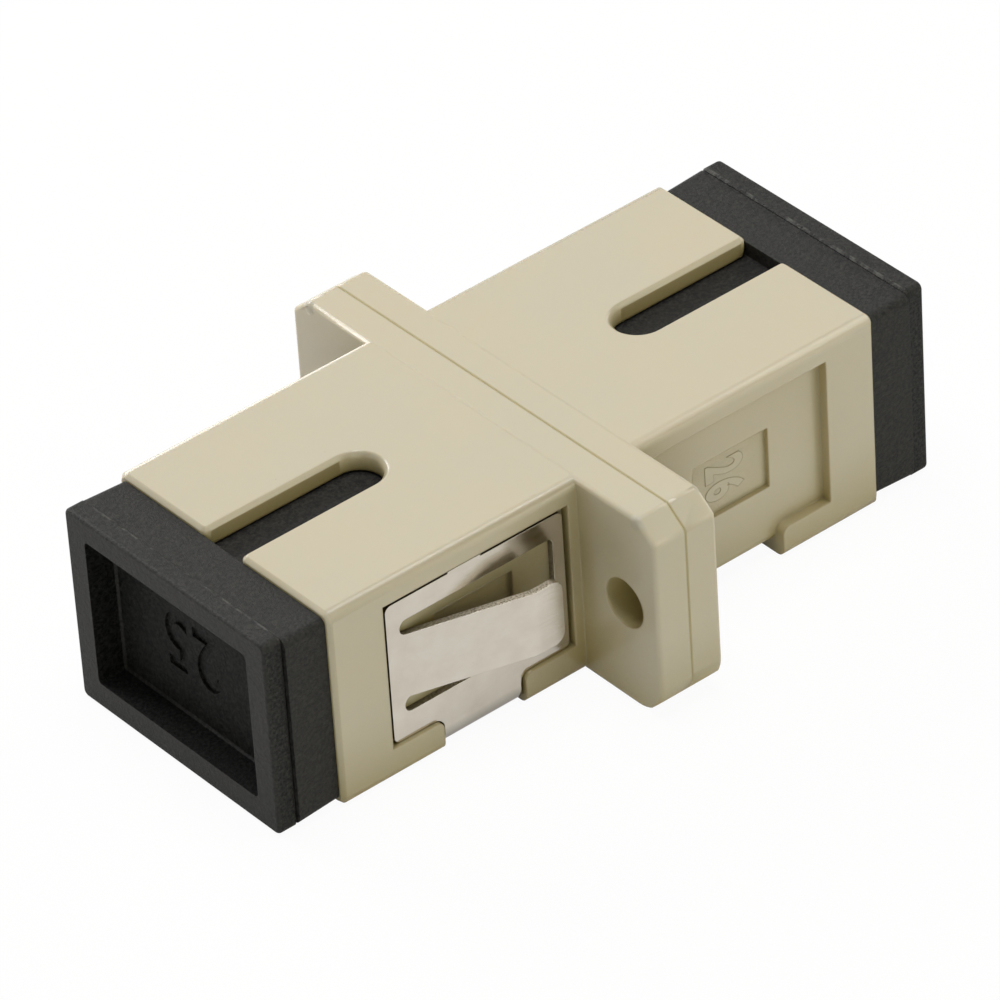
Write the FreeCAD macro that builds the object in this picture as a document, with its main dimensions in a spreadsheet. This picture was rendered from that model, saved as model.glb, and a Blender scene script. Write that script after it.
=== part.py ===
"""SC simplex fibre adapter: two flanged housing halves, a folded panel clip, two latch
holders, an alignment sleeve and two dust plugs.

Frame: X is the optical axis, Z points to the keyway side and the origin is the point on the
axis where the two ferrules meet, in the plane of the flange seam. Both ends are the same
mouldings, so each piece is drawn on the +X half and the front copies are turned half round
about Z. Lengths are millimetres.
"""
import FreeCAD, Part
import math
import os
import Sketcher

V = FreeCAD.Vector
TOUCH = 1e-4          # two places nearer than this are the same
ORIGIN = (-1, 1)      # a sketch's own origin, as a constraint names it
LEAST_CHANGE = 1e-6   # smallest volume that a feature may add or cut

SIZES = {
    # housing halves
    "body_half": 13.88,            # seam to body end
    "body_width": 12.9,
    "body_height": 9.29,
    "axis_rise": 0.1,             # optical axis above the body's middle
    "body_edge_radius": 0.42,      # the four long edges
    "end_edge_bevel": 0.17,       # outer edges of the end face and of the keyway
    "port_width": 9.1,
    "port_height": 7.45,
    "port_corner_radius": 0.3,
    "port_lead_in": 0.3,
    "port_lead_angle": 45.0,      # degrees
    "key_width": 2.15,
    "key_length": 7.75,
    "key_end_flat": 0.002,        # flat between the two arcs of the slot's round end
    "key_mouth_radius": 0.3,
    # flange
    "flange_width": 22.0,
    "flange_half_thickness": 1.57,
    "flange_rise": 0.02,          # flange top above body top
    "ear_chamfer_width": 1.01,
    "ear_chamfer_drop": 0.81,
    "ear_blend_radius": 0.3,      # where the chamfer meets the top and the side
    "ear_corner_radius": 1.5,     # bottom corners
    "flange_edge_radius": 0.2,
    "seam_bevel": 0.03,
    "screw_margin": 2.0,          # hole axis to the flange's side
    "screw_hole": 2.2,
    # clip recess in each side wall, and the channel that joins them underneath
    "recess_depth": 0.45,
    "recess_setback": 0.48,       # flange face to recess
    "recess_length": 9.25,
    "recess_cover": 0.945,         # body top to recess
    "lip_height": 1.455,           # body underside to lip top
    "lip_radius": 0.35,
    "lip_length": 2.59,           # recess to the gap between the two lips
    "gate_length": 4.13,          # the gap
    "channel_depth": 0.645,
    "channel_edge_radius": 0.45,
    "panel_setback": 2.57,        # recess to the sunk mould number panel
    "panel_length": 3.91,
    "panel_height": 2.86,
    "panel_rise": 0.13,           # middle of the panel, the window and the tongue above the axis
    "panel_depth": 0.2,
    # panel clip
    "sheet": 0.3,
    "clip_clearance": 0.2,       # to the ends of the recess
    "clip_top_clearance": 0.25,
    "clip_lip_clearance": 0.03,
    "strap_clearance": 0.13,      # to the ends of the gate
    "clip_corner_radius": 0.3,
    "tab_setback": 3.13,          # clip end to the stub of the carrier tab
    "tab_length": 1.64,
    "tab_height": 0.08,
    "strap_inset": 0.1,          # strap face above the body's underside
    "strap_bend_radius": 0.6,     # outside
    "window_margin": 0.55,        # clip end to window, seam side
    "slot_margin": 0.64,          # clip end to slot ends
    "slot_width": 0.7,           # above and below the tongue
    "slot_corner_radius": 0.34,
    "window_corner_radius": 0.25,
    "tongue_width": 3.0,
    "tongue_angle": 16.1,         # degrees
    "tongue_rise": 1.5,
    "tongue_root": 0.3,           # slot end to first bend
    "tongue_bend_radius": 0.8,
    "tongue_corner_radius": 0.5,
    "panel_thickness": 2.05,       # rack panel held between tongue tip and flange
    # latch holders
    "plate_thickness": 1.4,
    "plate_ledge_y": 0.65,        # how far the plate passes the port on each side
    "plate_ledge_z": 0.22,
    "plate_corner_radius": 0.3,
    "plate_clearance": 0.05,
    "tube_diameter": 4.8,
    "tube_lip": 0.6,
    "tube_lip_bore": 2.9,
    "tube_chamfer": 0.25,
    "arm_thickness": 0.8,
    "arm_height": 3.8,
    "arm_gap": 0.45,              # port wall to the back of the arm
    "arm_length": 8.8,            # seam to arm tip
    "arm_corner_radius": 0.3,
    "hook_reach": 0.55,
    "hook_catch": 7.1,            # seam to catch face
    "hook_land": 0.4,
    "hook_tip_thickness": 0.5,
    # alignment sleeve
    "sleeve_bore": 2.49,
    "sleeve_wall": 0.35,
    "sleeve_half": 5.7,
    "sleeve_slit": 0.5,
    "sleeve_bevel": 0.1,
    "sleeve_clearance": 0.08,
    "sleeve_end_play": 0.1,
    # dust plugs
    "rim_thickness": 0.91,
    "rim_inset_y": 0.31,          # inside the body's outline
    "rim_inset_z": 0.055,
    "rim_corner_radius": 0.3,
    "rim_front_radius": 0.16,
    "rim_back_bevel": 0.08,
    "collar_length": 2.02,
    "collar_inset_y": 0.25,
    "collar_inset_z": 0.27,
    "collar_corner_radius": 0.3,
    "collar_flare": 2.7,          # degrees, wider towards the rim
    "face_wall_y": 1.18,          # rim outline to the pocket in the face
    "face_wall_z": 1.04,
    "face_pocket_depth": 1.3,
    "face_pocket_draft": 3.0,     # degrees
    "face_pocket_radius": 0.2,
    "face_floor_radius": 0.12,
    "insert_clearance": 0.1,      # all round, to the port
    "insert_corner_radius": 0.45,
    "insert_reach": 8.3,          # into the port
    "insert_chamfer": 0.3,
    "insert_wall": 1.0,
    "core_side_wall": 1.15,
    "core_floor": 1.25,           # between the two pockets
    "latch_gap": 0.4,             # latch arm tip to the core's side walls
    # drawing aid
    "overshoot": 1.0,             # how far the outline of a cut passes the solid
}

os.makedirs("parts", exist_ok=True)
doc = FreeCAD.newDocument("sc_fibre_adapter")
sheet = doc.addObject("Spreadsheet::Sheet", "sizes")
for row, (alias, number) in enumerate(SIZES.items(), start=1):
    sheet.set(f"A{row}", alias)
    sheet.set(f"B{row}", str(number))
    sheet.setAlias(f"B{row}", alias)
doc.recompute()


# ---------------------------------------------------------------- expressions
class Terms(dict):
    """Short names that stand for cells or for lengths worked out from cells."""

    def __missing__(self, alias):
        if alias not in SIZES:
            raise KeyError(alias)
        return f"sizes.{alias}"


T = Terms()


def e(text):
    """Expression text with every {name} replaced by its cell or derived term."""
    return text.format_map(T)


def value(text):
    """Number that an expression has now."""
    return float(sheet.evalExpression(e(text)))


def term(name, text):
    T[name] = f"({e(text)})"


term("half_width", "{body_width} / 2")
term("body_top", "{body_height} / 2 - {axis_rise}")
term("body_foot", "{body_height} / 2 + {axis_rise}")
term("flange_top", "{body_top} + {flange_rise}")
term("flange_side", "{flange_width} / 2")
term("lead_in_growth", "2 * {port_lead_in} * tan({port_lead_angle} * 1deg)")
term("recess_start", "{flange_half_thickness} + {recess_setback}")
term("recess_end", "{recess_start} + {recess_length}")
term("recess_top", "{body_top} - {recess_cover}")
term("lip_top", "{body_foot} - {lip_height}")
term("gate_start", "{recess_start} + {lip_length}")
term("gate_end", "{gate_start} + {gate_length}")
term("panel_start", "{recess_start} + {panel_setback}")
term("floor_y", "{half_width} - {recess_depth}")
term("channel_z", "{body_foot} - {channel_depth}")
term("clip_outer_y", "{floor_y} + {sheet}")
term("clip_start", "{recess_start} + {clip_clearance}")
term("clip_end", "{recess_end} - {clip_clearance}")
term("clip_top", "{recess_top} - {clip_top_clearance}")
term("plate_foot", "{lip_top} - {clip_lip_clearance}")
term("strap_start", "{gate_start} + {strap_clearance}")
term("strap_end", "{gate_end} - {strap_clearance}")
term("notch_radius", "{lip_radius} + {strap_clearance}")
term("strap_z", "{body_foot} - {strap_inset}")
term("slot_end", "{clip_end} - {slot_margin}")
term("tab_end", "{clip_end} - {tab_setback}")
term("tab_start", "{tab_end} - {tab_length}")
term("tab_top", "{clip_top} + {tab_height}")
term("window_half", "{tongue_width} / 2 + {slot_width}")
term("tongue_bend_x", "{slot_end} - {tongue_root}")
term("tongue_top_x", "{tongue_bend_x} - {tongue_rise} / tan({tongue_angle} * 1deg)")
term("tongue_tip_x", "{flange_half_thickness} + {panel_thickness}")
term("mitre", "{sheet} * tan({tongue_angle} * 1deg / 2)")
term("sleeve_diameter", "{sleeve_bore} + 2 * {sleeve_wall}")
term("tube_bore", "{sleeve_diameter} + 2 * {sleeve_clearance}")
term("tube_seat", "{sleeve_half} + {sleeve_end_play}")
term("tube_end", "{tube_seat} + {tube_lip}")
term("plate_width", "{port_width} + 2 * {plate_ledge_y}")
term("plate_height", "{port_height} + 2 * {plate_ledge_z}")
term("arm_out", "{port_width} / 2 - {arm_gap}")
term("arm_in", "{arm_out} - {arm_thickness}")
term("hook_in", "{arm_in} - {hook_reach}")
term("insert_width", "{port_width} - 2 * {insert_clearance}")
term("insert_height", "{port_height} - 2 * {insert_clearance}")
term("insert_tip", "{body_half} - {insert_reach}")
term("rim_back", "{body_half} + {collar_length}")
term("rim_front", "{rim_back} + {rim_thickness}")
term("rim_width", "{body_width} - 2 * {rim_inset_y}")
term("rim_height", "{body_height} - 2 * {rim_inset_z}")
term("collar_width", "{body_width} - 2 * {collar_inset_y}")
term("collar_height", "{body_height} - 2 * {collar_inset_z}")
term("face_pocket_width", "{rim_width} - 2 * {face_wall_y}")
term("face_pocket_height", "{rim_height} - 2 * {axis_rise} - 2 * {face_wall_z}")
term("face_floor", "{rim_front} - {face_pocket_depth}")
term("core_end", "{face_floor} - {core_floor}")
term("core_start", "{arm_length} + {latch_gap}")
term("core_height", "{insert_height} - 2 * {insert_wall}")


# ---------------------------------------------------------------- sketch and feature helpers
def new_body(label):
    body = doc.addObject("PartDesign::Body", label)
    body.Label = label
    return body


def origin_plane(body, role):
    return next(item for item in body.Origin.OriginFeatures if item.Role == role)


def new_sketch(body, name, plane, offset="0"):
    """Sketch on an origin plane. YZ looks along X, XZ has its normal on -Y, XY on +Z."""
    sketch = body.newObject("Sketcher::SketchObject", name)
    sketch.AttachmentSupport = (origin_plane(body, plane + "_Plane"), [""])
    sketch.MapMode = "FlatFace"
    sketch.setExpression("AttachmentOffset.Base.z", e(offset))
    return sketch


def bind(sketch, kind, *rest):
    """Adds a dimension whose value is an expression, given last."""
    *where, text = rest
    index = sketch.addConstraint(Sketcher.Constraint(kind, *where, value(text)))
    sketch.setExpression(f"Constraints[{index}]", e(text))


def place(sketch, item, end, x, y):
    """Ties one point of a sketch to an (x, y) measured from the sketch origin."""
    bind(sketch, "DistanceX", *ORIGIN, item, end, x)
    bind(sketch, "DistanceY", *ORIGIN, item, end, y)


def corner_arc(point, before, after, radius):
    """Start, middle and end of the arc of that radius in the corner before-point-after."""
    back = (before - point).normalize()
    ahead = (after - point).normalize()
    half_angle = back.getAngle(ahead) / 2
    bisector = (back + ahead).normalize()
    setback = radius / math.tan(half_angle)
    middle = point + bisector * (radius / math.sin(half_angle) - radius)
    return point + back * setback, middle, point + ahead * setback


def outline(sketch, *corners):
    """Closed outline through corners (x, y) or (x, y, radius), each an expression."""
    points = [V(value(corner[0]), value(corner[1]), 0) for corner in corners]
    arcs = []
    for index, corner in enumerate(corners):
        if len(corner) == 3:
            after = points[(index + 1) % len(points)]
            arcs.append(corner_arc(points[index], points[index - 1], after, value(corner[2])))
        else:
            arcs.append((points[index],) * 3)
    lines = []
    for index, arc in enumerate(arcs):
        next_start = arcs[(index + 1) % len(arcs)][0]
        lines.append(sketch.addGeometry(Part.LineSegment(arc[2], next_start), False))
    for index, corner in enumerate(corners):
        before, after = lines[index - 1], lines[index]
        if len(corner) == 2:
            sketch.addConstraint(Sketcher.Constraint("Coincident", before, 2, after, 1))
            place(sketch, after, 1, corner[0], corner[1])
            continue
        vertex = sketch.addGeometry(Part.Point(points[index]), True)
        place(sketch, vertex, 1, corner[0], corner[1])
        sketch.addConstraint(Sketcher.Constraint("PointOnObject", vertex, 1, before))
        sketch.addConstraint(Sketcher.Constraint("PointOnObject", vertex, 1, after))
        arc = sketch.addGeometry(Part.Arc(*arcs[index]), False)
        starts_here = sketch.getPoint(arc, 1).isEqual(arcs[index][0], 1e-6)
        first, last = (1, 2) if starts_here else (2, 1)
        sketch.addConstraint(Sketcher.Constraint("Tangent", before, 2, arc, first))
        sketch.addConstraint(Sketcher.Constraint("Tangent", arc, last, after, 1))
        bind(sketch, "Radius", arc, corner[2])


def centred_rectangle(sketch, width, height, radius, drop="0"):
    """Rectangle with rounded corners, its middle below the sketch origin by drop."""
    x, low, high = f"({width}) / 2", f"-({height}) / 2 - {drop}", f"({height}) / 2 - {drop}"
    outline(
        sketch,
        (f"-{x}", low, radius),
        (x, low, radius),
        (x, high, radius),
        (f"-{x}", high, radius),
    )


def circle(sketch, x, y, diameter):
    centre = V(value(x), value(y), 0)
    item = sketch.addGeometry(Part.Circle(centre, V(0, 0, 1), value(diameter) / 2))
    place(sketch, item, 3, x, y)
    bind(sketch, "Diameter", item, diameter)


def settle(body, feature, adds):
    """Recomputes and checks that the feature added or took away material."""
    before = feature.BaseFeature.Shape.Volume if feature.BaseFeature else 0.0
    doc.recompute()
    change = feature.Shape.Volume - before
    if (change > 0) != adds or abs(change) < LEAST_CHANGE:
        raise RuntimeError(f"{body.Label}.{feature.Name} changed the volume by {change:.4f}")
    return feature


def pad(body, sketch, length, reverse=False, symmetric=False, taper=None):
    feature = body.newObject("PartDesign::Pad", f"{sketch.Name}_pad")
    feature.Profile = sketch
    feature.setExpression("Length", e(length))
    feature.Reversed = reverse
    if symmetric:
        feature.SideType = "Symmetric"
    if taper:
        feature.setExpression("TaperAngle", e(taper))
    return settle(body, feature, adds=True)


def pocket(body, sketch, length=None, reverse=False, symmetric=False, taper=None):
    """Cuts along -normal, or +normal when reversed; no length cuts through everything."""
    feature = body.newObject("PartDesign::Pocket", f"{sketch.Name}_cut")
    feature.Profile = sketch
    if length:
        feature.setExpression("Length", e(length))
    else:
        feature.Type = "ThroughAll"
    feature.Reversed = reverse
    if symmetric:
        feature.SideType = "Symmetric"
    if taper:
        feature.setExpression("TaperAngle", e(taper))
    return settle(body, feature, adds=False)


def mirror(body, *features):
    feature = body.newObject("PartDesign::Mirrored", f"{features[-1].Name}_mirror")
    feature.Originals = list(features)
    feature.MirrorPlane = (origin_plane(body, "XZ_Plane"), [""])
    body.Tip = feature
    doc.recompute()
    return feature


def turn(body, sketch, cut=False):
    """Revolves an XY sketch about the optical axis."""
    kind = "Groove" if cut else "Revolution"
    feature = body.newObject(f"PartDesign::{kind}", f"{sketch.Name}_{kind.lower()}")
    feature.Profile = sketch
    feature.ReferenceAxis = (sketch, ["H_Axis"])
    feature.Angle = 360
    return settle(body, feature, adds=not cut)


def edges(body, test):
    """Names of the tip's edges whose bounding box and middle pass the test."""
    names = []
    for index, edge in enumerate(body.Tip.Shape.Edges, start=1):
        middle = edge.valueAt((edge.FirstParameter + edge.LastParameter) / 2)
        if test(edge.BoundBox, middle):
            names.append(f"Edge{index}")
    return names


def soften(body, name, names, size, kind="Fillet"):
    """Fillet or chamfer on named edges of the tip."""
    if not names:
        raise RuntimeError(f"{body.Label}.{name} has no edges")
    base = body.Tip
    feature = body.newObject(f"PartDesign::{kind}", name)
    feature.Base = (base, names)
    feature.setExpression("Radius" if kind == "Fillet" else "Size", e(size))
    doc.recompute()
    return feature


def same(a, b):
    return abs(a - b) < TOUCH


def flat_at_x(box, x):
    return same(box.XMin, x) and same(box.XMax, x)


def flat_at_z(box, z):
    return same(box.ZMin, z) and same(box.ZMax, z)


def place_side(body, side):
    """The rear copy stays as drawn; the front copy is turned half round about Z."""
    half_turn = 180 if side == "front" else 0
    body.Placement = FreeCAD.Placement(V(0, 0, 0), FreeCAD.Rotation(V(0, 0, 1), half_turn))


# ---------------------------------------------------------------- housing half
def build_flange(body, side):
    outer = new_sketch(body, f"flange_{side}", "YZ")
    edge_y, top, bottom = "{flange_side}", "{flange_top}", "-{body_foot}"
    outline(
        outer,
        ("-" + edge_y, bottom, "{ear_corner_radius}"),
        (edge_y, bottom, "{ear_corner_radius}"),
        (edge_y, top + " - {ear_chamfer_drop}", "{ear_blend_radius}"),
        (edge_y + " - {ear_chamfer_width}", top, "{ear_blend_radius}"),
        ("-" + edge_y + " + {ear_chamfer_width}", top, "{ear_blend_radius}"),
        ("-" + edge_y, top + " - {ear_chamfer_drop}", "{ear_blend_radius}"),
    )
    pad(body, outer, "{flange_half_thickness}")
    face_x = value("{flange_half_thickness}")
    front_edges = edges(body, lambda box, _: flat_at_x(box, face_x))
    soften(body, f"flange_edges_{side}", front_edges, "{flange_edge_radius}")
    seam_edges = edges(body, lambda box, _: flat_at_x(box, 0))
    soften(body, f"seam_bevel_{side}", seam_edges, "{seam_bevel}", "Chamfer")


def build_barrel(body, side):
    section = new_sketch(body, f"barrel_{side}", "YZ", "{flange_half_thickness} / 2")
    rounded = "{body_edge_radius}"
    centred_rectangle(section, "{body_width}", "{body_height}", rounded, "{axis_rise}")
    pad(body, section, "{body_half} - {flange_half_thickness} / 2")


def build_keyway(body, side):
    """The open slot in the top wall that takes the connector's key, with its edges broken."""
    slot = new_sketch(body, f"keyway_{side}", "XY")
    inner, outer = "{body_half} - {key_length}", "{body_half} + {overshoot}"
    half, round_end = "{key_width} / 2", "({key_width} - {key_end_flat}) / 2"
    outline(
        slot,
        (inner, "-" + half, round_end),
        (outer, "-" + half),
        (outer, half),
        (inner, half, round_end),
    )
    pocket(body, slot, reverse=True)
    inner_x, end_x = value(inner), value("{body_half}")
    half_key, top, foot = value(half), value("{body_top}"), value("{body_foot}")

    def at_mouth(box, middle):
        return flat_at_x(box, end_x) and same(abs(middle.y), half_key) and box.ZLength > TOUCH

    soften(body, f"keyway_mouth_{side}", edges(body, at_mouth), "{key_mouth_radius}")
    reach = half_key + value("{key_mouth_radius}") + TOUCH

    def broken(box, middle):
        """The end face's outline and the slot's outline in the top face."""
        on_end = flat_at_x(box, end_x) and (abs(middle.y) > reach or same(middle.z, -foot))
        on_slot = flat_at_z(box, top) and abs(middle.y) < reach and box.XMin > inner_x - TOUCH
        return on_slot or on_end and not same(middle.z, 0)

    soften(body, f"end_edges_{side}", edges(body, broken), "{end_edge_bevel}", "Chamfer")


def build_port(body, side):
    """The connector port, its lead-in and the seat of the latch holder's plate."""
    port = new_sketch(body, f"port_{side}", "YZ")
    centred_rectangle(port, "{port_width}", "{port_height}", "{port_corner_radius}")
    pocket(body, port, reverse=True)
    lead_in = new_sketch(body, f"lead_in_{side}", "YZ", "{body_half}")
    wide, high = "{port_width} + {lead_in_growth}", "{port_height} + {lead_in_growth}"
    centred_rectangle(lead_in, wide, high, "{port_corner_radius} + {port_lead_in}")
    pocket(body, lead_in, "{port_lead_in}", taper="-{port_lead_angle}")
    seat = new_sketch(body, f"seat_{side}", "YZ")
    gap = " + 2 * {plate_clearance}"
    centred_rectangle(seat, "{plate_width}" + gap, "{plate_height}" + gap, "{plate_corner_radius}")
    pocket(body, seat, "{plate_thickness}", reverse=True)


def build_recesses(body, side):
    """Side recesses for the clip, open below between two lips, and the channel underneath."""
    lip, below = "-{lip_top}", "-{body_foot} - {overshoot}"
    recess = new_sketch(body, f"recess_{side}", "XZ", "{half_width}")
    outline(
        recess,
        ("{recess_start}", "{recess_top}"),
        ("{recess_start}", lip),
        ("{gate_start}", lip, "{lip_radius}"),
        ("{gate_start}", below),
        ("{gate_end}", below),
        ("{gate_end}", lip, "{lip_radius}"),
        ("{recess_end}", lip),
        ("{recess_end}", "{recess_top}"),
    )
    recess_cut = pocket(body, recess, "{recess_depth}")
    panel = new_sketch(body, f"number_panel_{side}", "XZ", "{floor_y}")
    low, high = "{panel_rise} - {panel_height} / 2", "{panel_rise} + {panel_height} / 2"
    outline(
        panel,
        ("{panel_start}", low),
        ("{panel_start} + {panel_length}", low),
        ("{panel_start} + {panel_length}", high),
        ("{panel_start}", high),
    )
    panel_cut = pocket(body, panel, "{panel_depth}")
    mirror(body, recess_cut, panel_cut)
    channel = new_sketch(body, f"channel_{side}", "XZ")
    outline(
        channel,
        ("{gate_start}", "-{channel_z}"),
        ("{gate_start}", below),
        ("{gate_end}", below),
        ("{gate_end}", "-{channel_z}"),
    )
    pocket(body, channel, symmetric=True)
    floor_y, floor_z = value("{floor_y}"), -value("{channel_z}")

    def along_channel(box, middle):
        return flat_at_z(box, floor_z) and same(abs(middle.y), floor_y) and box.XLength > TOUCH

    soften(body, f"channel_edges_{side}", edges(body, along_channel), "{channel_edge_radius}")


def build_screw_holes(body, side):
    holes = new_sketch(body, f"screw_holes_{side}", "YZ")
    for hand in ("-", ""):
        circle(holes, hand + "({flange_side} - {screw_margin})", "0", "{screw_hole}")
    pocket(body, holes, reverse=True)


def build_housing(side):
    body = new_body(f"housing_{side}")
    build_flange(body, side)
    build_barrel(body, side)
    build_keyway(body, side)
    build_port(body, side)
    build_recesses(body, side)
    build_screw_holes(body, side)
    place_side(body, side)
    return body


# ---------------------------------------------------------------- panel clip
def build_clip():
    """One folded sheet: two side plates with lanced tongues and a strap underneath."""
    body = new_body("panel_clip")
    plate = new_sketch(body, "side_plate", "XZ", "{floor_y}")
    corner, foot = "{clip_corner_radius}", "-{plate_foot}"
    strap_top = "-{strap_z} + 2 * {strap_bend_radius}"
    outline(
        plate,
        ("{clip_start}", "{clip_top}", corner),
        ("{clip_start}", foot, corner),
        ("{strap_start}", foot, "{notch_radius}"),
        ("{strap_start}", strap_top),
        ("{strap_end}", strap_top),
        ("{strap_end}", foot, "{notch_radius}"),
        ("{clip_end}", foot, corner),
        ("{clip_end}", "{clip_top}", corner),
        ("{tab_end}", "{clip_top}"),
        ("{tab_end}", "{tab_top}"),
        ("{tab_start}", "{tab_top}"),
        ("{tab_start}", "{clip_top}"),
    )
    plate_pad = pad(body, plate, "{sheet}")
    window = new_sketch(body, "window", "XZ", "{floor_y}")
    top, bottom = "{panel_rise} + {window_half}", "{panel_rise} - {window_half}"
    high, low = "{panel_rise} + {tongue_width} / 2", "{panel_rise} - {tongue_width} / 2"
    near, root_x, end = "{clip_start} + {window_margin}", "{tongue_bend_x}", "{slot_corner_radius}"
    outline(
        window,
        (near, top, "{window_corner_radius}"),
        (near, bottom, "{window_corner_radius}"),
        ("{slot_end}", bottom, end),
        ("{slot_end}", low, end),
        (root_x, low),
        (root_x, high),
        ("{slot_end}", high, end),
        ("{slot_end}", top, end),
    )
    window_cut = pocket(body, window, "{sheet}", reverse=True)
    tongue = new_sketch(body, "tongue", "XY", "{panel_rise}")
    inner, outer = "-{floor_y}", "-{clip_outer_y}"
    raised_in, raised_out = "-{floor_y} - {tongue_rise}", "-{clip_outer_y} - {tongue_rise}"
    tight, wide = "{tongue_bend_radius}", "{tongue_bend_radius} + {sheet}"
    outline(
        tongue,
        (root_x, inner),
        (root_x, outer),
        ("{tongue_top_x} + {mitre}", raised_out, wide),
        ("{tongue_tip_x}", raised_out),
        ("{tongue_tip_x}", raised_in),
        ("{tongue_top_x}", raised_in, tight),
    )
    tongue_pad = pad(body, tongue, "{tongue_width}", symmetric=True)
    mirror(body, plate_pad, window_cut, tongue_pad)
    strap = new_sketch(body, "strap", "YZ", "{strap_start}")
    bend, inside = "{strap_bend_radius}", "{strap_bend_radius} - {sheet}"
    outline(
        strap,
        ("-{clip_outer_y}", strap_top),
        ("-{clip_outer_y}", "-{strap_z}", bend),
        ("{clip_outer_y}", "-{strap_z}", bend),
        ("{clip_outer_y}", strap_top),
        ("{floor_y}", strap_top),
        ("{floor_y}", "-{strap_z} + {sheet}", inside),
        ("-{floor_y}", "-{strap_z} + {sheet}", inside),
        ("-{floor_y}", strap_top),
    )
    pad(body, strap, "{strap_end} - {strap_start}")
    tip_x, half = value("{tongue_tip_x}"), value("{tongue_width} / 2")
    rise = value("{panel_rise}")

    def at_tip(box, middle):
        return flat_at_x(box, tip_x) and same(abs(middle.z - rise), half)

    soften(body, "tongue_corners", edges(body, at_tip), "{tongue_corner_radius}")
    place_side(body, "front")
    return body


# ---------------------------------------------------------------- inner pieces
def build_latch_holder(side):
    """Seat plate, sleeve tube with a retaining lip, and two hooked latch arms."""
    body = new_body(f"latch_holder_{side}")
    plate = new_sketch(body, f"plate_{side}", "YZ")
    centred_rectangle(plate, "{plate_width}", "{plate_height}", "{plate_corner_radius}")
    pad(body, plate, "{plate_thickness}")
    tube = new_sketch(body, f"tube_{side}", "XY")
    outer = "{tube_diameter} / 2"
    outline(
        tube,
        ("{plate_thickness} / 2", "0"),
        ("{tube_end}", "0"),
        ("{tube_end}", outer + " - {tube_chamfer}"),
        ("{tube_end} - {tube_chamfer}", outer),
        ("{plate_thickness} / 2", outer),
    )
    turn(body, tube)
    arm = new_sketch(body, f"arm_{side}", "XY")
    root, rounded = "{plate_thickness} / 2", "{arm_corner_radius}"
    outline(
        arm,
        (root, "{arm_out}"),
        (root, "{arm_in}"),
        ("{hook_catch}", "{arm_in}"),
        ("{hook_catch}", "{hook_in}"),
        ("{hook_catch} + {hook_land}", "{hook_in}", rounded),
        ("{arm_length}", "{arm_out} - {hook_tip_thickness}"),
        ("{arm_length}", "{arm_out}", rounded),
    )
    arm_pad = pad(body, arm, "{arm_height}", symmetric=True)
    mirror(body, arm_pad)
    bore = new_sketch(body, f"sleeve_bore_{side}", "XY")
    bore_y, lip_y = "{tube_bore} / 2", "{tube_lip_bore} / 2"
    outline(
        bore,
        ("-{overshoot}", "0"),
        ("{tube_end} + {overshoot}", "0"),
        ("{tube_end} + {overshoot}", lip_y + " + {tube_chamfer}"),
        ("{tube_end}", lip_y + " + {tube_chamfer}"),
        ("{tube_end} - {tube_chamfer}", lip_y),
        ("{tube_seat}", lip_y),
        ("{tube_seat}", bore_y),
        ("-{overshoot}", bore_y),
    )
    turn(body, bore, cut=True)
    place_side(body, side)
    return body


def build_sleeve():
    """Slit sleeve; its slit faces the keyway side."""
    body = new_body("alignment_sleeve")
    wall = new_sketch(body, "sleeve_wall", "XY")
    inner, outer, bevel = "{sleeve_bore} / 2", "{sleeve_diameter} / 2", "{sleeve_bevel}"
    outline(
        wall,
        ("-{sleeve_half}", inner + " + " + bevel),
        ("-{sleeve_half} + " + bevel, inner),
        ("{sleeve_half} - " + bevel, inner),
        ("{sleeve_half}", inner + " + " + bevel),
        ("{sleeve_half}", outer + " - " + bevel),
        ("{sleeve_half} - " + bevel, outer),
        ("-{sleeve_half} + " + bevel, outer),
        ("-{sleeve_half}", outer + " - " + bevel),
    )
    turn(body, wall)
    slit = new_sketch(body, "slit", "XY")
    beyond, half_slit = "{sleeve_half} + {overshoot}", "{sleeve_slit} / 2"
    outline(
        slit,
        (f"-({beyond})", f"-{half_slit}"),
        (beyond, f"-{half_slit}"),
        (beyond, half_slit),
        (f"-({beyond})", half_slit),
    )
    pocket(body, slit, reverse=True)
    return body


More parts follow.
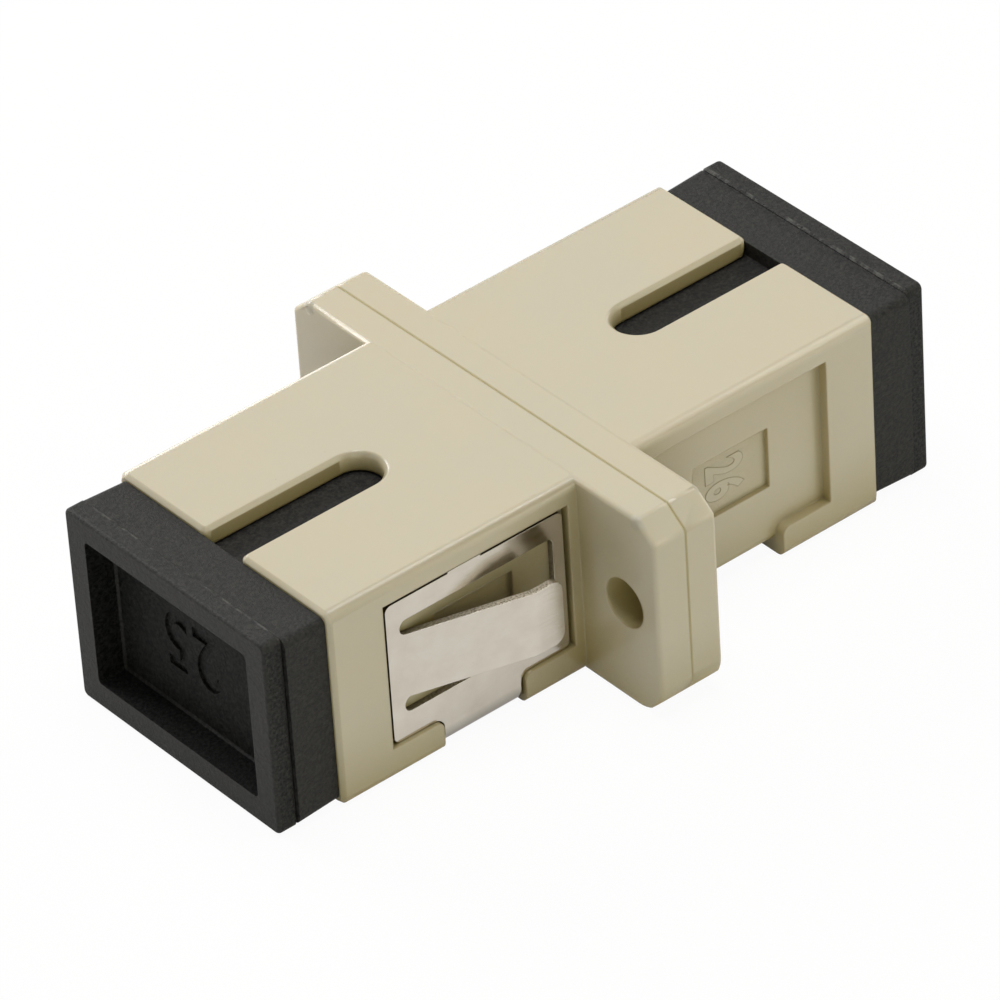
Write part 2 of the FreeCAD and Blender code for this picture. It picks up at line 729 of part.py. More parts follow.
# ---------------------------------------------------------------- dust plug
def build_plug(side):
    body = new_body(f"dust_plug_{side}")
    rim = new_sketch(body, f"rim_{side}", "YZ", "{rim_back}")
    rounded, drop = "{rim_corner_radius}", "{axis_rise}"
    centred_rectangle(rim, "{rim_width}", "{rim_height}", rounded, drop)
    pad(body, rim, "{rim_thickness}")
    front_x, back_x = value("{rim_front}"), value("{rim_back}")
    front = edges(body, lambda box, _: flat_at_x(box, front_x))
    soften(body, f"rim_front_{side}", front, "{rim_front_radius}")
    back = edges(body, lambda box, _: flat_at_x(box, back_x))
    soften(body, f"rim_back_{side}", back, "{rim_back_bevel}", "Chamfer")
    collar = new_sketch(body, f"collar_{side}", "YZ", "{body_half}")
    rounded = "{collar_corner_radius}"
    centred_rectangle(collar, "{collar_width}", "{collar_height}", rounded, drop)
    pad(body, collar, "{collar_length}", taper="{collar_flare}")
    insert = new_sketch(body, f"insert_{side}", "YZ", "{insert_tip}")
    centred_rectangle(insert, "{insert_width}", "{insert_height}", "{insert_corner_radius}")
    pad(body, insert, "{insert_reach}")
    tip_x = value("{insert_tip}")
    tip = edges(body, lambda box, _: flat_at_x(box, tip_x))
    soften(body, f"insert_tip_{side}", tip, "{insert_chamfer}", "Chamfer")
    core = new_sketch(body, f"core_{side}", "XY")
    before, inside = "{insert_tip} - {overshoot}", "({insert_width} / 2 - {core_side_wall})"
    beside = "({insert_width} / 2 + {overshoot})"
    outline(
        core,
        (before, f"-{beside}"),
        ("{core_start}", f"-{beside}"),
        ("{core_start}", f"-{inside}"),
        ("{core_end}", f"-{inside}"),
        ("{core_end}", inside),
        ("{core_start}", inside),
        ("{core_start}", beside),
        (before, beside),
    )
    pocket(body, core, "{core_height}", symmetric=True)
    face = new_sketch(body, f"face_pocket_{side}", "YZ", "{rim_front}")
    centred_rectangle(face, "{face_pocket_width}", "{face_pocket_height}", "{face_pocket_radius}")
    pocket(body, face, "{face_pocket_depth}", taper="-{face_pocket_draft}")
    floor_x, wide = value("{face_floor}"), value("{face_pocket_width}")
    floor = edges(body, lambda box, _: flat_at_x(box, floor_x) and box.YLength < wide)
    soften(body, f"face_floor_{side}", floor, "{face_floor_radius}")
    place_side(body, side)
    return body


pieces = [build_clip(), build_sleeve()]
for side in ("front", "rear"):
    pieces += [build_housing(side), build_latch_holder(side), build_plug(side)]
doc.recompute()

for item in doc.Objects:
    if {"Invalid", "Error"} & set(item.State):
        raise RuntimeError(f"{item.Name} did not compute")
for piece in pieces:
    if piece.Shape.isNull() or not piece.Shape.isValid() or len(piece.Shape.Solids) != 1:
        raise RuntimeError(f"{piece.Label} is not one valid solid")
for piece in pieces:
    piece.Shape.exportStep(f"parts/{piece.Label}.step")
    box = piece.Shape.BoundBox
    print(f"{piece.Label}: {piece.Shape.Volume:.2f} mm3, X {box.XMin:.2f}..{box.XMax:.2f}, "
          f"Y {box.YMin:.2f}..{box.YMax:.2f}, Z {box.ZMin:.2f}..{box.ZMax:.2f}")
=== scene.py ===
"""Looks of the SC fibre adapter: moulded beige housing, satin spring clip, black dust plugs.

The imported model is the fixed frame. Lengths are metres, +Z is up and X is the optical axis.
"""

import bmesh
import bpy
from mathutils import Matrix, Vector


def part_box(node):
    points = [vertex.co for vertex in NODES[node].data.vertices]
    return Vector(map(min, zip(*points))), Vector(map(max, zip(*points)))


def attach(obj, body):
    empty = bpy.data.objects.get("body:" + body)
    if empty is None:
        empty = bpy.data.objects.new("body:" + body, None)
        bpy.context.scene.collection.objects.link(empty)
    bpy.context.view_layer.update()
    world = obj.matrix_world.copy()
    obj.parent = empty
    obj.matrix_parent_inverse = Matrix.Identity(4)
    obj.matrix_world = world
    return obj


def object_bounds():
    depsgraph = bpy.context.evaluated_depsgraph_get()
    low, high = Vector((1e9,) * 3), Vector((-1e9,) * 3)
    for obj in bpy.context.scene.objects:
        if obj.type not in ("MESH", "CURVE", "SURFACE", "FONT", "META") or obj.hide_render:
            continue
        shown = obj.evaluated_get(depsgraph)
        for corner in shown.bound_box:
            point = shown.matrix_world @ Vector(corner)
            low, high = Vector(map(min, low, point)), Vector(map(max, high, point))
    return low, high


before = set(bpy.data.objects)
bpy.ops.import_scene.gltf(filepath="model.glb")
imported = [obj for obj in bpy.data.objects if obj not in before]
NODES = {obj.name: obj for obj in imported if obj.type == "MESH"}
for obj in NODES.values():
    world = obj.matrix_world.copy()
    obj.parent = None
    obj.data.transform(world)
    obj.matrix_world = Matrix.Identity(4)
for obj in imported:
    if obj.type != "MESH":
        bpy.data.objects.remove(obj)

cad_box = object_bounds()
MM = 0.001
HAIR = 0.01 * MM                     # faces closer than this share a plane
ENDS = {"front": -1, "rear": 1}      # side of the seam each half lies on


# ---------------------------------------------------------------- node materials
class Surface:
    """A node material. Places inside it are millimetres in the part's own frame."""

    def __init__(self, name, **shader_values):
        self.material = bpy.data.materials.new(name)
        self.material.use_nodes = True
        self.tree = self.material.node_tree
        self.tree.nodes.clear()
        self.shader = self.add("ShaderNodeBsdfPrincipled")
        for socket, number in shader_values.items():
            self.shader.inputs[socket.replace("_", " ")].default_value = number
        self.add("ShaderNodeOutputMaterial", {"Surface": self.shader.outputs[0]})
        place = self.add("ShaderNodeTexCoord").outputs["Object"]
        scaled = self.add("ShaderNodeVectorMath", {0: place, "Scale": 1 / MM}, operation="SCALE")
        self.place = scaled.outputs[0]

    def add(self, kind, inputs=None, **settings):
        """A node with its settings, and its inputs linked to a socket or set to a value."""
        node = self.tree.nodes.new(kind)
        for key, setting in settings.items():
            setattr(node, key, setting)
        for key, entry in (inputs or {}).items():
            if isinstance(entry, bpy.types.NodeSocket):
                self.tree.links.new(entry, node.inputs[key])
            else:
                node.inputs[key].default_value = entry
        return node

    def wire(self, socket, entry):
        self.tree.links.new(entry, self.shader.inputs[socket])

    def parts(self):
        return self.add("ShaderNodeSeparateXYZ", {0: self.place}).outputs

    def noise(self, per_mm, detail=2.0, roughness=0.5, stretch=(1, 1, 1), offset=(0, 0, 0)):
        moved = self.add("ShaderNodeMapping", {"Vector": self.place, "Scale": stretch,
                                               "Location": offset})
        node = self.add("ShaderNodeTexNoise", {"Vector": moved.outputs[0], "Scale": per_mm,
                                               "Detail": detail, "Roughness": roughness})
        return node.outputs[0]

    def span(self, fac, low, high, start=0.0, end=1.0):
        """Maps fac from low..high to start..end, clamped."""
        node = self.add("ShaderNodeMapRange", {0: fac, 1: low, 2: high, 3: start, 4: end})
        return node.outputs[0]

    def maths(self, operation, a, b):
        return self.add("ShaderNodeMath", {0: a, 1: b}, operation=operation).outputs[0]

    def mix(self, fac, a, b, blend="MIX"):
        node = self.add("ShaderNodeMix", {0: fac, 6: a, 7: b}, data_type="RGBA", blend_type=blend)
        return node.outputs[2]

    def size(self, fac):
        """fac without its sign."""
        return self.maths("ABSOLUTE", fac, 0.0)

    def soft_edges(self, radius_mm):
        """The normal as if each edge were rounded."""
        return self.add("ShaderNodeBevel", {"Radius": radius_mm * MM}, samples=8).outputs[0]

    def openness(self, reach_mm):
        """1 in the open, falling towards 0 deep in corners and gaps."""
        shade = self.add("ShaderNodeAmbientOcclusion", {"Distance": reach_mm * MM}, samples=4)
        return shade.outputs["AO"]

    def bump(self, height, depth_mm, normal=None, strength=1.0):
        inputs = {"Height": height, "Distance": depth_mm * MM, "Strength": strength}
        if normal:
            inputs["Normal"] = normal
        return self.add("ShaderNodeBump", inputs).outputs[0]

    def specks(self, per_mm, size, share, offset=(0, 0, 0)):
        """1 inside a few small dots, 0 elsewhere. share is how many cells hold one."""
        moved = self.add("ShaderNodeMapping", {"Vector": self.place, "Location": offset})
        cells = self.add("ShaderNodeTexVoronoi", {"Vector": moved.outputs[0], "Scale": per_mm})
        dot = self.span(cells.outputs["Distance"], size, size * 0.5)
        pick = self.add("ShaderNodeSeparateColor", {0: cells.outputs["Color"]}).outputs[0]
        chosen = self.maths("LESS_THAN", pick, share)
        return self.maths("MULTIPLY", dot, chosen)


BEIGE = (0.610, 0.552, 0.422, 1)
BEIGE_WARM = (0.618, 0.552, 0.414, 1)
BEIGE_COOL = (0.600, 0.548, 0.426, 1)
BEIGE_CORNER_SHADE = (0.370, 0.300, 0.120, 1)
BEIGE_GRAIN = (0.44, 0.39, 0.27, 1)
BEIGE_DEPTH_RGB = (1.0, 0.62, 0.30)  # red light travels furthest inside the plastic
GAP_SHADE_BROWN = (0.110, 0.080, 0.040, 1)
SEAM_SHADE_OLIVE = (0.520, 0.450, 0.270, 1)
EDGE_SHADE_BROWN = (0.440, 0.350, 0.200, 1)
SPECK_BROWN = (0.22, 0.16, 0.09, 1)


def beige_plastic(name="beige_plastic", grained=False, rounding=0.15, translucency=0.18):
    """Glossy moulded plastic with painted shade: browner in corners and gaps, along edges and at the
    seam.

    The grained kind is the spark-eroded panel. rounding is the edge radius in mm.
    """
    s = Surface(name, IOR=1.5, Subsurface_Weight=translucency, Subsurface_Scale=0.4 * MM)
    s.shader.inputs["Subsurface Radius"].default_value = BEIGE_DEPTH_RGB
    clouds = s.noise(0.16, 2.0)
    colour = s.mix(s.span(clouds, 0.35, 0.65), BEIGE_COOL, BEIGE_WARM)
    flow = s.noise(1.1, 3.0, 0.6, (0.35, 1, 1))
    colour = s.mix(s.span(flow, 0.3, 0.7, 0.0, 0.5), colour, BEIGE)
    dots = s.specks(0.5, 0.016, 0.3)
    fine_dots = s.specks(1.6, 0.05, 0.05, (3, 7, 5))
    marks = s.maths("MAXIMUM", s.maths("MULTIPLY", dots, 0.4), s.maths("MULTIPLY", fine_dots, 0.25))
    colour = s.mix(marks, colour, SPECK_BROWN)
    # painted shade: browner, then near black, deep in corners, recesses and gaps
    open_air = s.openness(4.0)
    colour = s.mix(s.span(open_air, 0.95, 0.25), colour, BEIGE_CORNER_SHADE)
    colour = s.mix(s.span(open_air, 0.24, 0.05), colour, GAP_SHADE_BROWN)
    # painted shade: an olive line in the seam between the two halves
    from_seam = s.size(s.parts()[0])
    colour = s.mix(s.span(from_seam, 0.09, 0.04), colour, SEAM_SHADE_OLIVE)
    if grained:
        grain = s.noise(9.0, 3.0, 0.7)
        colour = s.mix(s.span(grain, 0.3, 0.7, 0.0, 0.10), colour, BEIGE_GRAIN)
        normal = s.bump(grain, 0.02, s.soft_edges(0.03))
        s.wire("Roughness", s.span(grain, 0.3, 0.7, 0.5, 0.65))
    else:
        skin = s.noise(3.5, 3.0, 0.6)
        rounded = s.soft_edges(rounding)
        flat = s.add("ShaderNodeNewGeometry").outputs["True Normal"]
        likeness = s.add("ShaderNodeVectorMath", {0: rounded, 1: flat}, operation="DOT_PRODUCT")
        # painted shade along the edges: browner where the rounded normal turns away from the flat one
        edge_shade = s.span(likeness.outputs["Value"], 0.98, 0.75, 0.0, 0.55)
        colour = s.mix(edge_shade, colour, EDGE_SHADE_BROWN)
        normal = s.bump(skin, 0.0016, rounded)
        s.wire("Roughness", s.span(skin, 0.3, 0.7, 0.19, 0.26))
    s.wire("Base Color", colour)
    s.wire("Normal", normal)
    return s.material


BLACK_PIT = (0.0015, 0.0015, 0.0014, 1)
BLACK_GRAIN = (0.038, 0.0365, 0.0315, 1)
BLACK_PATCH = (0.012, 0.0117, 0.011, 1)
DUST_GREY = (0.09, 0.09, 0.085, 1)
RIM_GLINT_GREY = (0.11, 0.108, 0.10, 1)


def black_plastic(rim_back, rim_top):
    """Fine grained black plastic, with a painted broken highlight in grey along the top edge of the rim's
    back. Places in mm.
    """
    s = Surface("black_plastic", IOR=1.5, Specular_IOR_Level=0.3)
    grain = s.noise(7.0, 4.0, 0.75)
    patches = s.noise(0.9, 3.0, 0.6)
    colour = s.mix(s.span(grain, 0.40, 0.66), BLACK_PIT, BLACK_GRAIN)
    colour = s.mix(s.span(patches, 0.35, 0.7, 0.0, 0.35), colour, BLACK_PATCH)
    dust = s.specks(2.2, 0.05, 0.12)
    colour = s.mix(s.maths("MULTIPLY", dust, 0.5), colour, DUST_GREY)
    along, _, height = s.parts()
    # painted highlight: a broken grey line along the top of the rim's back edge
    from_line = s.size(s.maths("SUBTRACT", s.size(along), rim_back + 0.06))
    on_line = s.span(from_line, 0.10, 0.05)
    on_top = s.maths("GREATER_THAN", height, rim_top - 0.1)
    broken = s.span(s.noise(1.6, 3.0, 0.7), 0.48, 0.60)
    rim_glint = s.maths("MULTIPLY", on_line, s.maths("MULTIPLY", on_top, broken))
    colour = s.mix(s.maths("MULTIPLY", rim_glint, 0.7), colour, RIM_GLINT_GREY)
    s.wire("Base Color", colour)
    s.wire("Roughness", s.span(grain, 0.3, 0.7, 0.50, 0.66))
    s.wire("Normal", s.bump(grain, 0.05, s.soft_edges(0.06)))
    return s.material


def dull_black(name, gloss, light):
    """Duller black for the rim's sides and step and for the pocket; the pocket's darker copies are
    painted shade in the recess. light is the tone of its grain.
    """
    s = Surface(name, IOR=1.5, Specular_IOR_Level=gloss)
    grain = s.noise(7.0, 4.0, 0.75)
    pit, crest = (0.001, 0.001, 0.001, 1), (light, light, light * 0.95, 1)
    s.wire("Base Color", s.mix(s.span(grain, 0.40, 0.66), pit, crest))
    s.wire("Roughness", s.span(grain, 0.3, 0.7, 0.55, 0.66))
    s.wire("Normal", s.bump(grain, 0.05))
    return s.material


STEEL = (0.690, 0.645, 0.580, 1)
STEEL_WARM = (0.645, 0.592, 0.520, 1)
STEEL_BEND_SHADE = (0.230, 0.215, 0.205, 1)
STEEL_LINE = (0.50, 0.45, 0.39, 1)
CUT_BRIGHT = (0.66, 0.61, 0.53, 1)
CUT_TORN = (0.22, 0.18, 0.13, 1)
CUT_SHADE = (0.06, 0.045, 0.025, 1)


def sheet_steel(bend_start, bend_end):
    """Satin spring steel with faint rolling lines, darkened by painted shade round the strap's bends
    (heights in mm).
    """
    s = Surface("sheet_steel", Metallic=1.0)
    lines = s.noise(9.0, 3.0, 0.6, (0.08, 1, 1))
    clouds = s.noise(0.8, 3.0, 0.6)
    colour = s.mix(s.span(clouds, 0.35, 0.68), STEEL, STEEL_WARM)
    colour = s.mix(s.span(lines, 0.55, 0.75, 0.0, 0.08), colour, STEEL_LINE)
    # painted shade: darker towards the bottom, round the strap's bends
    bend_shade = s.span(s.parts()[2], bend_start, bend_end, 0.0, 0.85)
    colour = s.mix(bend_shade, colour, STEEL_BEND_SHADE)
    s.wire("Base Color", colour)
    s.wire("Roughness", s.span(lines, 0.3, 0.7, 0.14, 0.22))
    s.wire("Normal", s.bump(lines, 0.0012, s.soft_edges(0.03)))
    return s.material


def sheared_steel():
    """The cut faces of the sheet: bright burnished streaks and dark torn ones, with painted shade where
    they lie in gaps.
    """
    s = Surface("sheared_steel", Metallic=1.0)
    streaks = s.noise(16.0, 4.0, 0.75, (1, 0.6, 1))
    torn = s.span(streaks, 0.46, 0.60)
    colour = s.mix(torn, CUT_BRIGHT, CUT_TORN)
    # painted shade: darker where the cut faces lie in gaps and corners
    colour = s.mix(s.span(s.openness(1.0), 0.65, 0.30), colour, CUT_SHADE)
    s.wire("Base Color", colour)
    s.wire("Roughness", s.span(streaks, 0.3, 0.7, 0.29, 0.5))
    s.wire("Normal", s.bump(streaks, 0.02, s.soft_edges(0.03)))
    return s.material


HOLDER_WHITE = (0.62, 0.60, 0.53, 1)
HOLDER_PALE = (0.68, 0.66, 0.59, 1)
BRONZE = (0.72, 0.43, 0.20, 1)
BRONZE_DARK = (0.62, 0.36, 0.17, 1)


def holder_plastic():
    """Off-white moulded plastic of the inner latch holders."""
    s = Surface("holder_plastic", IOR=1.5)
    clouds = s.noise(0.4, 3.0)
    skin = s.noise(4.0, 3.0, 0.6)
    s.wire("Base Color", s.mix(s.span(clouds, 0.3, 0.7), HOLDER_WHITE, HOLDER_PALE))
    s.wire("Roughness", s.span(skin, 0.3, 0.7, 0.42, 0.52))
    s.wire("Normal", s.bump(skin, 0.003, s.soft_edges(0.05)))
    return s.material


def bronze():
    """Rolled phosphor bronze of the alignment sleeve."""
    s = Surface("phosphor_bronze", Metallic=1.0)
    lines = s.noise(8.0, 3.0, 0.6, (0.1, 1, 1))
    clouds = s.noise(0.7, 3.0)
    s.wire("Base Color", s.mix(s.span(clouds, 0.3, 0.7), BRONZE, BRONZE_DARK))
    s.wire("Roughness", s.span(lines, 0.3, 0.7, 0.25, 0.38))
    s.wire("Normal", s.bump(lines, 0.002, s.soft_edges(0.03)))
    return s.material


# ---------------------------------------------------------------- dressing the CAD pieces
def give(node, *materials):
    """Fills a piece's material slots and puts every face in the first."""
    mesh = node.data
    mesh.materials.clear()
    for material in materials:
        mesh.materials.append(material)
    for polygon in mesh.polygons:
        polygon.material_index = 0


def facing(node, axis, sign):
    """Faces that look along +axis (sign 1) or -axis (sign -1) of the part's frame."""
    return [face for face in node.data.polygons if face.normal[axis] * sign > 0.99]


def number_panel(node):
    """The sunk panel on the -Y side: its depth |y| and its middle."""
    outward = [face for face in facing(node, 1, -1) if face.center.y < 0]
    depth = min(abs(face.center.y) for face in outward)
    faces = [face for face in outward if abs(face.center.y) < depth + HAIR]
    corners = [node.data.vertices[index].co for face in faces for index in face.vertices]
    low = Vector(map(min, *corners))
    high = Vector(map(max, *corners))
    return depth, (low + high) / 2


def dress_housings():
    """Beige shells with the grained material on the number panels."""
    smooth, grained = beige_plastic(), beige_plastic("grained_panel", grained=True)
    for end in ENDS:
        node = NODES[f"housing_{end}"]
        give(node, smooth, grained)
        depth, _ = number_panel(node)
        for face in facing(node, 1, 1) + facing(node, 1, -1):
            outward = face.normal.y * face.center.y > 0
            if outward and abs(face.center.y) < depth + HAIR:
                face.material_index = 1


EAR_FLAT = Vector((1.0, 0.985)) * MM     # along the foot, and up the side
PAST_SEAM = 0.5 * MM
PAST_FLANGE = 4.0 * MM                   # from the seam, clear of the flange's face


def flatten_ear_corners():
    """Cuts a flat across each rounded bottom corner of the flange, from foot to side."""
    low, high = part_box("housing_rear")
    start = Vector((high.y - EAR_FLAT.x, low.z)) - EAR_FLAT
    stop = Vector((high.y, low.z + EAR_FLAT.y)) + EAR_FLAT
    triangle = (start, stop, Vector((stop.x, start.y)))
    for end, sign in ENDS.items():
        node = NODES[f"housing_{end}"]
        reach = (-sign * PAST_SEAM, sign * PAST_FLANGE)
        mesh = bpy.data.meshes.new(f"ear_cutter_{end}")
        mesh.from_pydata(*two_prisms(triangle, reach))
        turn_faces_out(mesh)
        mesh.materials.append(node.data.materials[0])
        cutter = bpy.data.objects.new(mesh.name, mesh)
        bpy.context.scene.collection.objects.link(cutter)
        carve(node, cutter, "adapter")


def two_prisms(triangle, reach):
    """Points, edges and faces of a prism along X over the triangle, and of its mirror in Y."""
    points = [(x, hand * corner.x, corner.y) for hand in (-1, 1) for x in reach for corner in triangle]
    faces = []
    for base in (0, 6):
        a, b, c, d, e, f = range(base, base + 6)
        faces += [(a, b, c), (f, e, d), (a, d, e, b), (b, e, f, c), (c, f, d, a)]
    return points, [], faces


def turn_faces_out(mesh):
    """Points the normals of a closed mesh outwards."""
    solid = bmesh.new()
    solid.from_mesh(mesh)
    bmesh.ops.recalc_face_normals(solid, faces=solid.faces)
    solid.to_mesh(mesh)
    solid.free()


def carve(node, cutter, body):
    """Cuts a hidden shape that rides on the body out of a piece, in the picture only."""
    cutter.hide_render = True
    weld = node.modifiers.new("weld", "WELD")
    weld.merge_threshold = 0.0005 * MM
    cut = node.modifiers.new("carve", "BOOLEAN")
    cut.object = cutter
    cut.operation = "DIFFERENCE"
    cut.solver = "EXACT"
    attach(cutter, body)


STRAP_BEND = 0.62 * MM       # height of the strap's bends, with a hair to spare


def dress_clip():
    """Sheet faces look along Y on the plates, and along Z on the strap and its bends."""
    node = NODES["panel_clip"]
    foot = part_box("panel_clip")[0].z
    bend_top = foot + STRAP_BEND
    give(node, sheet_steel(bend_top / MM + 0.25, foot / MM + 0.1), sheared_steel())
    for polygon in node.data.polygons:
        normal, middle = polygon.normal, polygon.center
        on_strap = middle.z < bend_top and abs(normal.x) < 0.5
        if abs(normal.y) < 0.5 and not on_strap:
            polygon.material_index = 1


def dress_inner_pieces():
    """The holders and the sleeve, seen only through open ports."""
    plastic = holder_plastic()
    for end in ENDS:
        give(NODES[f"latch_holder_{end}"], plastic)
    give(NODES["alignment_sleeve"], bronze())


# ---------------------------------------------------------------- plugs and plain mould numbers
PLUG_NUMBER = "25"
PLUG_DIGIT_HEIGHT = 2.75 * MM
PLUG_DIGIT_DEPTH = 0.12 * MM
PLUG_DIGIT_WIDTH_SHARE = 0.86
PLUG_DIGIT_PLACE = (0.33 * MM, -0.05 * MM)       # across and up from the middle of the pocket
PANEL_NUMBER = "26"
PANEL_DIGIT_HEIGHT = 2.05 * MM
PANEL_DIGIT_RISE = 0.03 * MM
PANEL_DIGIT_WIDTH_SHARE = 0.66
PANEL_DIGIT_PLACE = (0.18 * MM, 0.04 * MM)       # towards the seam and up from the panel's middle


def number_mesh(name, text, height, width_share, depth, bolder=0.018):
    """Solid bold digits about the origin, height tall along Y, reading along X, depth deep along Z."""
    curve = bpy.data.curves.new(name, "FONT")
    curve.body = text
    curve.align_x = "CENTER"
    curve.align_y = "CENTER"
    curve.resolution_u = 6
    curve.space_character = 1.15
    curve.offset = bolder
    curve.extrude = 0.5
    holder = bpy.data.objects.new(name, curve)
    bpy.context.scene.collection.objects.link(holder)
    bpy.context.view_layer.update()
    mesh = bpy.data.meshes.new_from_object(holder.evaluated_get(bpy.context.evaluated_depsgraph_get()))
    bpy.data.objects.remove(holder)
    bpy.data.curves.remove(curve)
    across = [vertex.co.x for vertex in mesh.vertices]
    upward = [vertex.co.y for vertex in mesh.vertices]
    scale = height / (max(upward) - min(upward))
    middle = Vector(((max(across) + min(across)) / 2, (max(upward) + min(upward)) / 2, 0))
    grow = Matrix.Diagonal((scale * width_share, scale, depth, 1))
    mesh.transform(grow @ Matrix.Translation(-middle))
    return mesh


def place_axes(origin, right, up):
    """Matrix that takes X to right, Y to up and Z out of the face."""
    right, up = Vector(right), Vector(up)
    out = right.cross(up)
    turn = Matrix((right, up, out)).transposed().to_4x4()
    return Matrix.Translation(origin) @ turn


BLACK, RIM_SIDE, STEP, POCKET_WALL, POCKET_BACK = range(5)       # a plug's material slots


def plug_places(node, sign):
    """|x| of the back of the rim, and x of the floor of the face pocket."""
    rim_back = max(abs(side.center.x) for side in facing(node, 0, -sign))
    outward = [abs(side.center.x) for side in facing(node, 0, sign)]
    return rim_back, sign * max(x for x in outward if x < rim_back)


def plug_slot(side, rim_back, pocket_floor):
    """The material slot of one face of a plug."""
    x, along = abs(side.center.x), abs(side.normal.x)
    inward = side.normal.y * side.center.y + side.normal.z * side.center.z < 0
    if x > rim_back and along < 0.5:
        if side.normal.y * side.center.y > 0 and abs(side.normal.y) > 0.99:
            return RIM_SIDE
        return POCKET_WALL if inward else BLACK
    if x > abs(pocket_floor) + HAIR and inward:
        return POCKET_WALL if along < 0.2 else BLACK
    if abs(side.center.x - pocket_floor) < HAIR and along > 0.99:
        return POCKET_BACK
    if abs(x - rim_back) < HAIR and along > 0.99:
        return STEP
    return BLACK


def sink_plug_number(node, end, sign, pocket_floor, material):
    """Sinks the digits into the floor of the face pocket, upside down as moulded."""
    name = f"plug_number_{end}"
    mesh = number_mesh(name, PLUG_NUMBER, PLUG_DIGIT_HEIGHT, PLUG_DIGIT_WIDTH_SHARE, 2 * PLUG_DIGIT_DEPTH)
    across, up = PLUG_DIGIT_PLACE
    mesh.transform(place_axes((pocket_floor, -sign * across, up), (0, -sign, 0), (0, 0, -1)))
    mesh.materials.append(material)
    cutter = bpy.data.objects.new(name, mesh)
    bpy.context.scene.collection.objects.link(cutter)
    carve(node, cutter, f"{end}_plug")


def dress_plugs():
    """Black plugs with duller sides, rim step and face pocket, the pocket darkened by painted shade, and
    a number in each pocket.
    """
    first = NODES["dust_plug_front"]
    rim_back, _ = plug_places(first, ENDS["front"])
    black = black_plastic(rim_back / MM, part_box(first.name)[1].z / MM)
    # the two pocket copies are darker: painted shade inside the recess
    slots = (black, dull_black("rim_side_black", 0.2, 0.044), dull_black("step_black", 0.3, 0.040),
             dull_black("pocket_shaded_black", 0.10, 0.020), dull_black("pocket_back_shaded_black", 0.13, 0.028))
    for end, sign in ENDS.items():
        node = NODES[f"dust_plug_{end}"]
        rim_back, pocket_floor = plug_places(node, sign)
        give(node, *slots)
        for side in node.data.polygons:
            side.material_index = plug_slot(side, rim_back, pocket_floor)
        sink_plug_number(node, end, sign, pocket_floor, slots[POCKET_BACK])


def raise_panel_numbers(material):
    """Low raised digits on one number panel of each housing half, read from the seam outwards."""
    for end, sign in ENDS.items():
        mesh = number_mesh(f"panel_number_{end}", PANEL_NUMBER, PANEL_DIGIT_HEIGHT,
                           PANEL_DIGIT_WIDTH_SHARE, PANEL_DIGIT_RISE, bolder=0.04)
        piece = bpy.data.objects.new(f"panel_number_{end}", mesh)
        bpy.context.scene.collection.objects.link(piece)
        depth, middle = number_panel(NODES[f"housing_{end}"])
        inward, up = PANEL_DIGIT_PLACE
        centre = (middle.x - sign * inward, -sign * depth, middle.z + up)
        mesh.transform(place_axes(centre, (0, 0, -1), (sign, 0, 0)))
        mesh.materials.append(material)
        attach(piece, "adapter")


# ---------------------------------------------------------------- floor, light and camera
FLOOR_PAPER = (0.90, 0.90, 0.89, 1)
FLOOR_SEEN_WHITE = 0.95
FLOOR_MIRRORED_WHITE = 0.35
WORLD_MIRRORED_WHITE = 0.5
FILL_COLOUR = (1.0, 0.99, 0.97, 1)
FILL_STRENGTH = 0.06
FLOOR_HALF = 1.5
FLOOR_GAP = 0.02 * MM


def mirrored_rays(nodes, links, path):
    """1 for rays mirrored in, or passed through, another surface."""
    mirrored = nodes.new("ShaderNodeMath")
    mirrored.operation = "MAXIMUM"
    links.new(path.outputs["Is Glossy Ray"], mirrored.inputs[0])
    links.new(path.outputs["Is Transmission Ray"], mirrored.inputs[1])
    return mirrored.outputs[0]


def build_floor():
    """A pale floor that reads as white to the camera and keeps a faint shadow of the part."""
    z = cad_box[0].z - FLOOR_GAP
    turns = ((-1, -1), (1, -1), (1, 1), (-1, 1))
    mesh = bpy.data.meshes.new("floor")
    mesh.from_pydata([(x * FLOOR_HALF, y * FLOOR_HALF, z) for x, y in turns], [], [(0, 1, 2, 3)])
    floor = bpy.data.objects.new("floor", mesh)
    bpy.context.scene.collection.objects.link(floor)
    material = bpy.data.materials.new("pale_floor")
    material.use_nodes = True
    nodes, links = material.node_tree.nodes, material.node_tree.links
    nodes.clear()
    paper = nodes.new("ShaderNodeBsdfDiffuse")
    paper.inputs["Color"].default_value = FLOOR_PAPER
    white = nodes.new("ShaderNodeEmission")
    blend = nodes.new("ShaderNodeMixShader")
    path = nodes.new("ShaderNodeLightPath")
    seen = nodes.new("ShaderNodeMath")
    seen.operation = "MULTIPLY"
    seen.inputs[1].default_value = FLOOR_SEEN_WHITE
    share = nodes.new("ShaderNodeMath")
    share.operation = "MULTIPLY_ADD"
    share.inputs[1].default_value = FLOOR_MIRRORED_WHITE
    links.new(path.outputs["Is Camera Ray"], seen.inputs[0])
    links.new(mirrored_rays(nodes, links, path), share.inputs[0])
    links.new(seen.outputs[0], share.inputs[2])
    links.new(share.outputs[0], blend.inputs[0])
    links.new(paper.outputs[0], blend.inputs[1])
    links.new(white.outputs[0], blend.inputs[2])
    output = nodes.new("ShaderNodeOutputMaterial")
    links.new(blend.outputs[0], output.inputs["Surface"])
    mesh.materials.append(material)


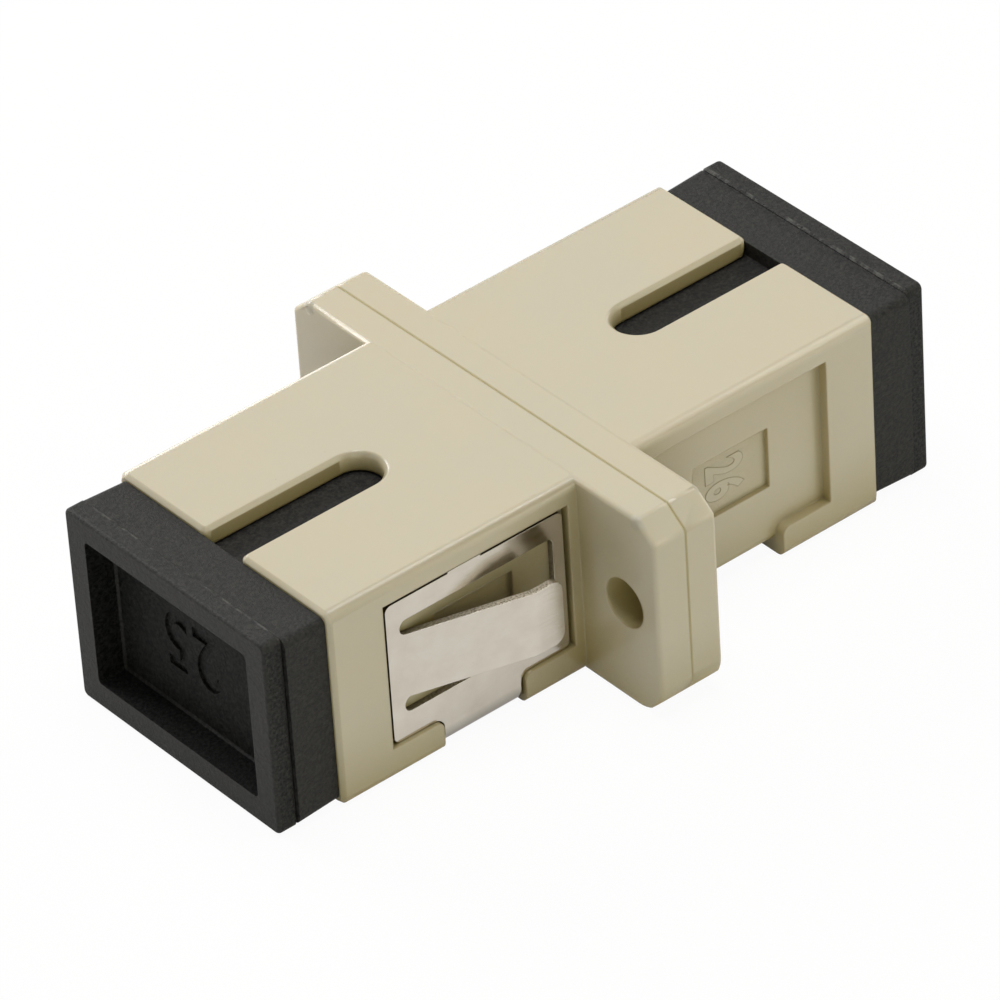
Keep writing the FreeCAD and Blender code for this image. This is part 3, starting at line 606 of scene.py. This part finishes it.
def build_world():
    """White to the camera, half of that in mirrors, and a dim grey as a light."""
    world = bpy.data.worlds.new("studio")
    bpy.context.scene.world = world
    world.use_nodes = True
    nodes, links = world.node_tree.nodes, world.node_tree.links
    nodes.clear()
    fill = nodes.new("ShaderNodeBackground")
    fill.inputs["Color"].default_value = FILL_COLOUR
    fill.inputs["Strength"].default_value = FILL_STRENGTH
    white = nodes.new("ShaderNodeBackground")
    blend = nodes.new("ShaderNodeMixShader")
    path = nodes.new("ShaderNodeLightPath")
    share = nodes.new("ShaderNodeMath")
    share.operation = "MULTIPLY_ADD"
    share.inputs[1].default_value = WORLD_MIRRORED_WHITE
    links.new(mirrored_rays(nodes, links, path), share.inputs[0])
    links.new(path.outputs["Is Camera Ray"], share.inputs[2])
    links.new(share.outputs[0], blend.inputs[0])
    links.new(fill.outputs[0], blend.inputs[1])
    links.new(white.outputs[0], blend.inputs[2])
    output = nodes.new("ShaderNodeOutputWorld")
    links.new(blend.outputs[0], output.inputs["Surface"])


LAMP_DISTANCE = 0.35
LAMP_SIZE = 0.20
LIGHTS = {      # direction from the part, watts, colour
    "overhead": ((0.0, 0.0, 1.0), 0.79, (1.0, 1.0, 1.0)),
    "back": ((-0.1, 0.9, 0.4), 0.88, (1.0, 1.0, 1.0)),
    "front_right": ((0.50, -0.78, 0.4), 0.218, (1.0, 0.98, 0.76)),
    "front_left": ((-0.55, -0.75, 0.35), 0.155, (1.0, 0.98, 0.70)),
    "right": ((0.95, 0.1, 0.3), 0.25, (1.0, 0.98, 0.90)),
}


def softbox(name, direction, watts, colour):
    """A square lamp that looks at the part."""
    lamp = bpy.data.lights.new(name, "AREA")
    lamp.color = colour
    lamp.shape = "SQUARE"
    lamp.size = LAMP_SIZE
    lamp.energy = watts
    holder = bpy.data.objects.new(name, lamp)
    bpy.context.scene.collection.objects.link(holder)
    away = Vector(direction).normalized()
    holder.location = away * LAMP_DISTANCE
    holder.rotation_mode = "QUATERNION"
    holder.rotation_quaternion = away.to_track_quat("Z", "Y")


def build_lights():
    for name, (direction, watts, colour) in LIGHTS.items():
        softbox(name, direction, watts, colour)


CAMERA_LENS = 293.2945
CAMERA_PLACE = Vector((-0.157713, -0.202768, 0.192025))
CAMERA_RIGHT = Vector((0.763062, -0.644026, -0.054417))
CAMERA_LOOK = Vector((0.490500, 0.631872, -0.600122))


def build_camera():
    """Long lens from above the front left, rolled a few degrees."""
    data = bpy.data.cameras.new("camera")
    data.sensor_width = 36.0
    data.lens = CAMERA_LENS
    data.clip_start = 0.01
    data.clip_end = 20.0
    camera = bpy.data.objects.new("camera", data)
    bpy.context.scene.collection.objects.link(camera)
    up = CAMERA_RIGHT.cross(CAMERA_LOOK)
    turn = Matrix((CAMERA_RIGHT, up, -CAMERA_LOOK)).transposed().to_4x4()
    camera.matrix_world = Matrix.Translation(CAMERA_PLACE) @ turn
    bpy.context.scene.camera = camera


bpy.context.scene.view_settings.view_transform = "Standard"
dress_housings()
flatten_ear_corners()
dress_clip()
dress_inner_pieces()
dress_plugs()
raise_panel_numbers(beige_plastic("beige_number", rounding=0.07, translucency=0.0))
build_floor()
build_world()
build_lights()
build_camera()
